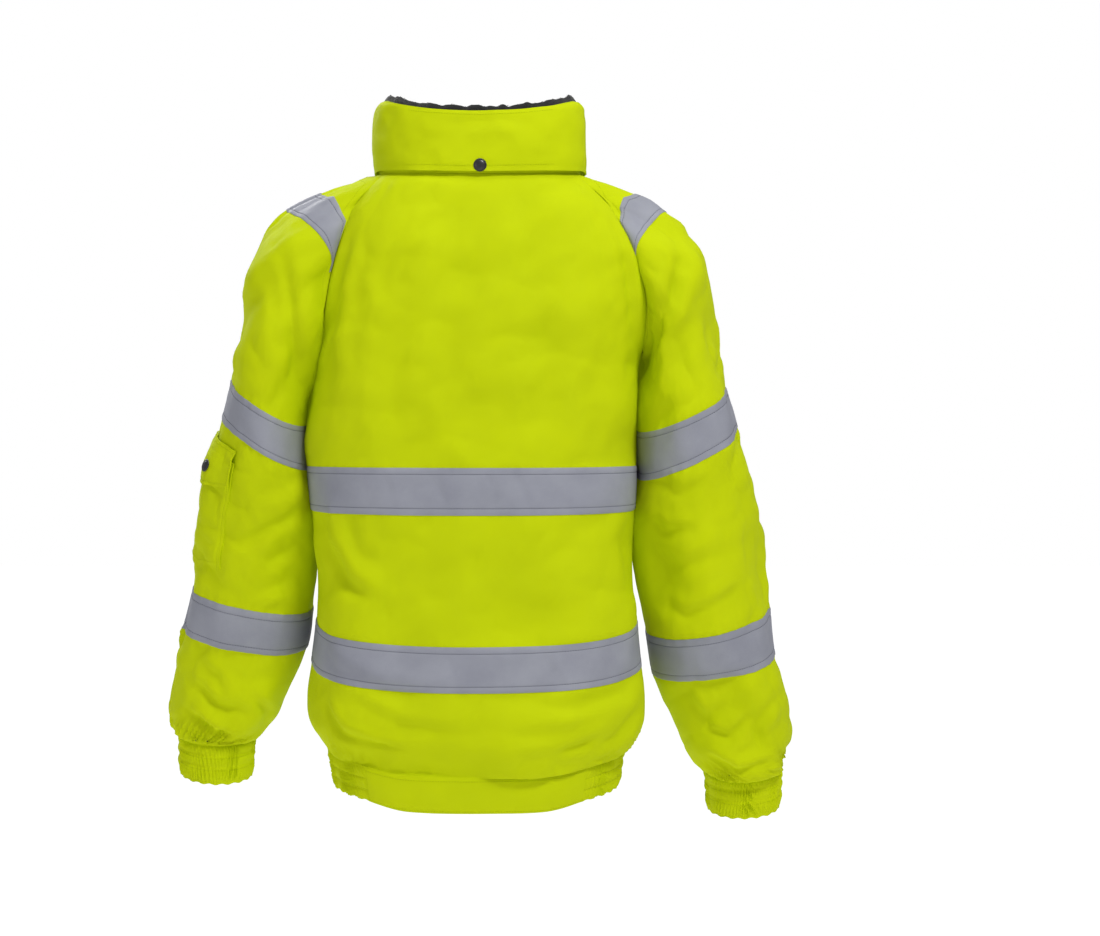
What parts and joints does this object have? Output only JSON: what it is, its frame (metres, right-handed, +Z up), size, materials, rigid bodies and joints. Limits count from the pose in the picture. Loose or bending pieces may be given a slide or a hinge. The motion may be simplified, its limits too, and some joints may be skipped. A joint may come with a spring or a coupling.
{
  "type": "foul_weather_jacket",
  "caption": "Hi-vis bomber jacket with raglan sleeves, stand collar with hood cover flap, front zip, reflective tapes, pocket flaps and elastic hem",
  "frame": {"origin": "in the gap of the hang loop, at the middle of the back of the neck", "axes": "+X to the wearer's left, +Y backwards, +Z up; the front faces -Y"},
  "size_m": [0.714, 0.265, 0.8405],
  "materials": {
    "hi_vis_fabric": "coated oxford weave, fluorescent yellow, matt",
    "reflective_tape": "grey glass-bead retroreflective, satin",
    "fleece": "curly pile",
    "lining_fabric": "quilted taffeta",
    "elastic": "ribbed woven elastic",
    "zip_cloth": "woven tape",
    "zip_plastic": "moulded teeth",
    "stud_metal": "dark gunmetal"
  },
  "bodies": {
    "jacket": {"back_panel": "hi_vis_fabric", "packed_hood": "hi_vis_fabric", "collar_stand": "hi_vis_fabric", "waistband_back": "hi_vis_fabric", "sleeve_pocket": "hi_vis_fabric", "collar_fleece": "fleece", "collar_stud_socket": "stud_metal", "sleeve_pocket_stud_socket": "stud_metal", "zip_bottom_box": "stud_metal", "back_lining": "lining_fabric", "chest_tape_back": "reflective_tape", "hem_tape_back": "reflective_tape", "hang_loop": "zip_cloth", "front_panel_left": "hi_vis_fabric", "sleeve_left": "hi_vis_fabric", "cuff_left": "hi_vis_fabric", "waistband_side_left": "hi_vis_fabric", "waistband_front_left": "hi_vis_fabric", "front_pocket_left": "hi_vis_fabric", "front_lining_left": "lining_fabric", "sleeve_lining_left": "lining_fabric", "cuff_elastic_left": "elastic", "waist_elastic_left": "elastic", "chest_tape_front_left": "reflective_tape", "hem_tape_front_left": "reflective_tape", "upper_arm_tape_left": "reflective_tape", "lower_arm_tape_left": "reflective_tape", "shoulder_tape_left": "reflective_tape", "zip_tape_left": "zip_cloth", "zip_teeth_left": "zip_plastic", "front_pocket_left_stud_socket": "stud_metal", "front_panel_right": "hi_vis_fabric", "sleeve_right": "hi_vis_fabric", "cuff_right": "hi_vis_fabric", "waistband_side_right": "hi_vis_fabric", "waistband_front_right": "hi_vis_fabric", "front_pocket_right": "hi_vis_fabric", "front_lining_right": "lining_fabric", "sleeve_lining_right": "lining_fabric", "cuff_elastic_right": "elastic", "waist_elastic_right": "elastic", "chest_tape_front_right": "reflective_tape", "hem_tape_front_right": "reflective_tape", "upper_arm_tape_right": "reflective_tape", "lower_arm_tape_right": "reflective_tape", "shoulder_tape_right": "reflective_tape", "zip_tape_right": "zip_cloth", "zip_teeth_right": "zip_plastic", "front_pocket_right_stud_socket": "stud_metal"},
    "zip_slider": {"zip_slider": "stud_metal"},
    "zip_pull": {"zip_pull": "zip_cloth"},
    "collar_cover": {"hood_cover_flap": "hi_vis_fabric", "collar_stud_cap": "stud_metal"},
    "sleeve_flap": {"sleeve_pocket_flap": "hi_vis_fabric", "sleeve_pocket_stud_cap": "stud_metal"},
    "pocket_flap_left": {"front_pocket_left_flap": "hi_vis_fabric", "front_pocket_left_stud_cap": "stud_metal"},
    "pocket_flap_right": {"front_pocket_right_flap": "hi_vis_fabric", "front_pocket_right_stud_cap": "stud_metal"},
    "placket": {"wind_placket": "lining_fabric"}
  },
  "joints": [
    {"name": "zip_slide", "type": "slide", "parent": "jacket", "child": "zip_slider", "axis": [0, -0.0434, -0.9991], "range_m": [0, 0.72]},
    {"name": "zip_pull_swing", "type": "hinge", "parent": "zip_slider", "child": "zip_pull", "pos_m": [0, -0.17828, 0.0386], "axis": [-1, 0, 0], "range_deg": [0, 150]},
    {"name": "collar_cover_lift", "type": "hinge", "parent": "jacket", "child": "collar_cover", "pos_m": [0, 0.0099, 0.06102], "axis": [1, 0, 0], "range_deg": [0, 60], "deforming": ["hood_cover_flap"]},
    {"name": "sleeve_flap_lift", "type": "hinge", "parent": "jacket", "child": "sleeve_flap", "pos_m": [0.30111, -0.05809, -0.3056], "axis": [0.302, -0.9347, 0.1874], "range_deg": [0, 115]},
    {"name": "pocket_flap_left_lift", "type": "hinge", "parent": "jacket", "child": "pocket_flap_left", "pos_m": [0.09609, -0.18584, -0.39704], "axis": [-0.9635, -0.2676, 0.0089], "range_deg": [0, 115]},
    {"name": "pocket_flap_right_lift", "type": "hinge", "parent": "jacket", "child": "pocket_flap_right", "pos_m": [-0.09609, -0.18584, -0.39704], "axis": [-0.9635, 0.2676, -0.0089], "range_deg": [0, 115]},
    {"name": "placket_fold", "type": "hinge", "parent": "jacket", "child": "placket", "pos_m": [0.024, -0.17592, -0.09341], "axis": [0, -0.0434, -0.9991], "range_deg": [0, 60]}
  ]
}
